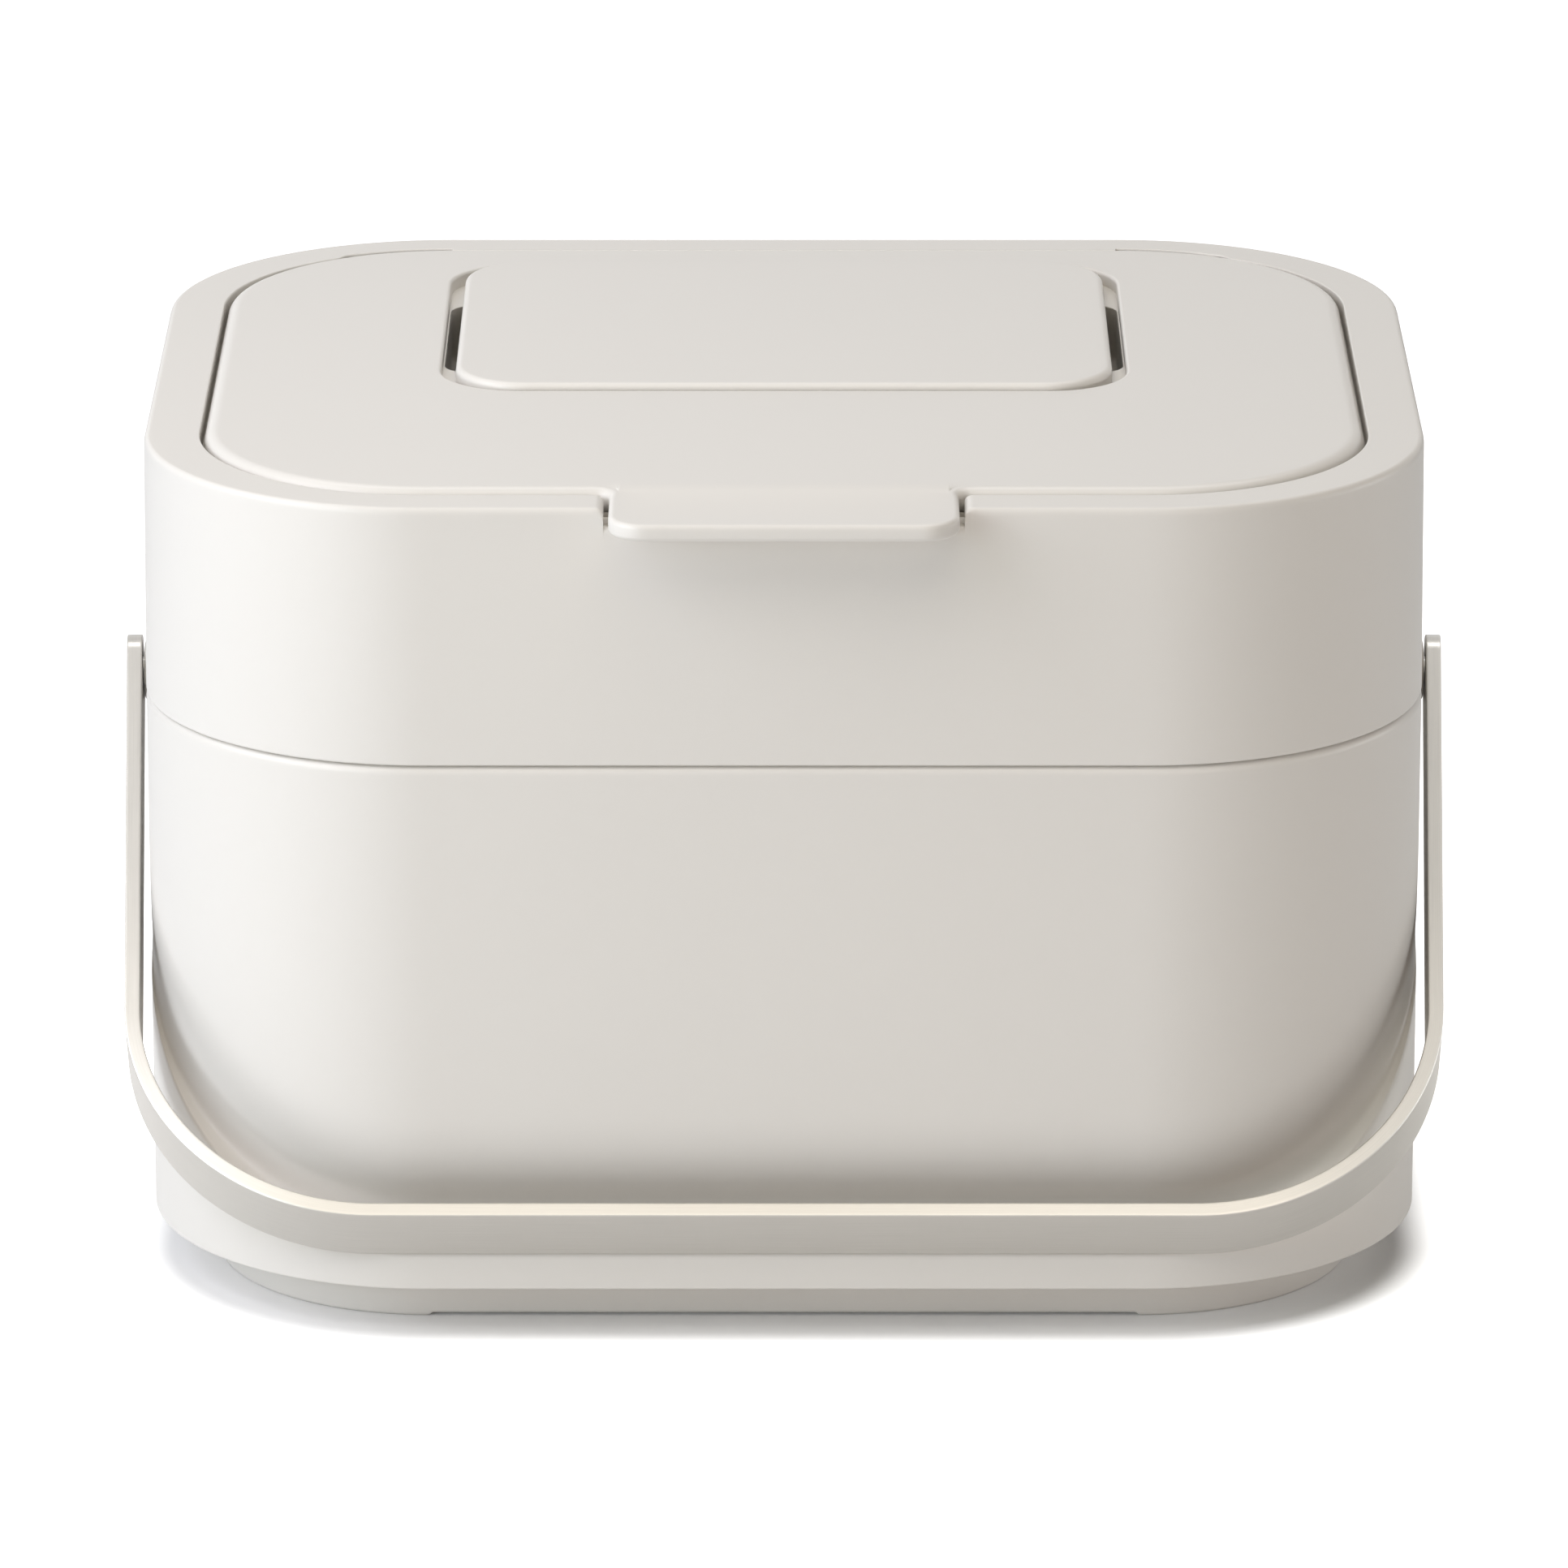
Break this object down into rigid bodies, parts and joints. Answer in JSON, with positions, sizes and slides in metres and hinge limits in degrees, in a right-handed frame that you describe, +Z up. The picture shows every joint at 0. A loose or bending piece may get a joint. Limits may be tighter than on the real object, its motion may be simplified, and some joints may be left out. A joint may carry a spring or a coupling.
{
  "type": "kitchen food waste caddy",
  "caption": "Kitchen food waste caddy: pail with lift-off collar, hinged lid with a finger tab, lift-off filter cover and a folding steel strip handle.",
  "frame": {"origin": "on the floor under the middle of the object's bounding box", "axes": "+Z up, +X across the width, and the front with the finger tab faces -Y"},
  "size_m": [0.2968, 0.2428, 0.1901],
  "materials": {
    "body_plastic": "matt moulded, stone grey",
    "spacer_plastic": "matt moulded",
    "carbon_foam": "open-cell carbon foam",
    "strap_steel": "brushed along the strip",
    "pin_steel": "satin"
  },
  "bodies": {
    "pail": {"pail": "body_plastic", "handle_spacer_left": "spacer_plastic", "handle_spacer_right": "spacer_plastic", "handle_washer_left": "pin_steel", "handle_washer_right": "pin_steel"},
    "collar": {"collar": "body_plastic"},
    "lid": {"lid": "body_plastic", "lid_pin_left": "pin_steel", "lid_pin_right": "pin_steel", "filter_pad": "carbon_foam"},
    "cover": {"filter_cover": "body_plastic"},
    "handle": {"handle_strap": "strap_steel", "handle_rivet_left": "pin_steel", "handle_rivet_right": "pin_steel"}
  },
  "joints": [
    {"name": "collar_lift", "type": "slide", "parent": "pail", "child": "collar", "axis": [0, 0, 1], "range_m": [0, 0.02]},
    {"name": "lid_hinge", "type": "hinge", "parent": "collar", "child": "lid", "pos_m": [0, 0.106, 0.1864], "axis": [-1, 0, 0], "range_deg": [0, 95]},
    {"name": "cover_lift", "type": "slide", "parent": "lid", "child": "cover", "axis": [0, 0, 1], "range_m": [0, 0.03]},
    {"name": "handle_hinge", "type": "hinge", "parent": "pail", "child": "handle", "pos_m": [0, 0.0073, 0.1177], "axis": [-1, 0, 0], "range_deg": [0, 250]}
  ]
}
